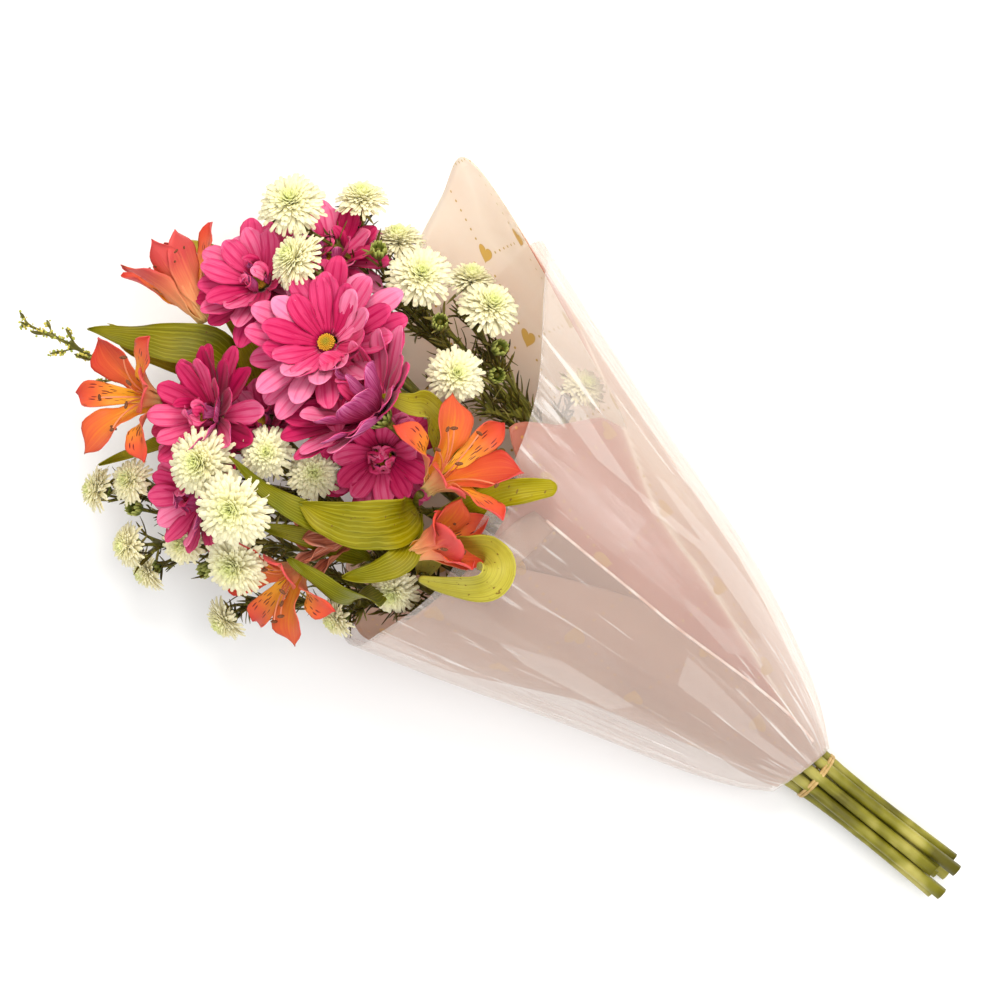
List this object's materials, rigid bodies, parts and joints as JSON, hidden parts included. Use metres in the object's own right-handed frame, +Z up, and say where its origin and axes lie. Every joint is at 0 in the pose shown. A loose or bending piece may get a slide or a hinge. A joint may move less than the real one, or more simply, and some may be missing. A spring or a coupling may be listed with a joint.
{
  "type": "mixed flower bouquet with wrapper",
  "caption": "Mixed cut-flower bouquet lying on its side: chrysanthemums, alstroemerias and double asters on long stems in a printed film and a clear conical sleeve, banded below the neck.",
  "frame": {"origin": "on the flat underside of the wrapper, on the bouquet's long axis, where the lying bouquet rests on the table", "axes": "+X along the stems to their cut ends, -X to the blooms, +Z up from the table, +Y to the side where the printed film's tall flap stands"},
  "size_m": [0.5558, 0.2742, 0.1985],
  "materials": {
    "clear_film": "clear glossy packaging film",
    "printed_film": "translucent blush film with gold hearts and dots",
    "band": "natural rubber, satin",
    "cream_petals": "soft creamy white petals",
    "disc_florets": "matt yellow florets",
    "magenta_petals": "satin magenta petals with darker veins",
    "orange_petals": "satin orange to coral petals, yellow throat with dark streaks",
    "faded_petals": "fading dull rose petals",
    "fine_foliage": "dark green needle-like leaves on green stems",
    "green_stem": "green stems, satin",
    "strap_leaves": "yellow-green leaves with parallel veins, satin",
    "goldenrod": "yellow-green buds on thin twigs"
  },
  "bodies": {
    "root": {"clear_sleeve": "clear_film", "printed_film": "printed_film", "elastic_band": "band", "aster_1": "cream_petals", "aster_2": "cream_petals", "aster_3": "cream_petals", "aster_4": "cream_petals", "aster_5": "cream_petals", "aster_6": "cream_petals", "aster_7": "cream_petals", "aster_8": "cream_petals", "aster_9": "cream_petals", "aster_10": "cream_petals", "aster_11": "cream_petals", "aster_12": "cream_petals", "aster_13": "cream_petals", "aster_14": "cream_petals", "aster_15": "cream_petals", "aster_16": "cream_petals", "aster_17": "cream_petals", "aster_18": "cream_petals", "aster_19": "cream_petals", "aster_20": "cream_petals", "aster_21": "cream_petals", "aster_22": "cream_petals", "chrysanthemum_disc_1": "disc_florets", "chrysanthemum_disc_2": "disc_florets", "chrysanthemum_disc_3": "disc_florets", "chrysanthemum_disc_4": "disc_florets", "chrysanthemum_disc_5": "disc_florets", "chrysanthemum_disc_6": "disc_florets", "chrysanthemum_disc_7": "disc_florets", "chrysanthemum_disc_8": "disc_florets", "chrysanthemum_1": "magenta_petals", "chrysanthemum_2": "magenta_petals", "chrysanthemum_3": "magenta_petals", "chrysanthemum_4": "magenta_petals", "chrysanthemum_5": "magenta_petals", "chrysanthemum_6": "magenta_petals", "chrysanthemum_7": "magenta_petals", "chrysanthemum_8": "magenta_petals", "alstroemeria_1": "orange_petals", "alstroemeria_2": "orange_petals", "alstroemeria_3": "orange_petals", "alstroemeria_4": "orange_petals", "alstroemeria_5": "orange_petals", "alstroemeria_faded": "faded_petals", "aster_spray_right": "fine_foliage", "aster_spray_low": "fine_foliage", "aster_spray_back": "fine_foliage", "aster_spray_top": "fine_foliage", "aster_spray_middle": "fine_foliage", "chrysanthemum_spray_top": "green_stem", "chrysanthemum_spray_front": "green_stem", "chrysanthemum_spray_left": "green_stem", "alstroemeria_stem_front": "strap_leaves", "alstroemeria_stem_low": "strap_leaves", "alstroemeria_stem_left": "strap_leaves", "goldenrod_sprig": "goldenrod"}
  },
  "joints": []
}
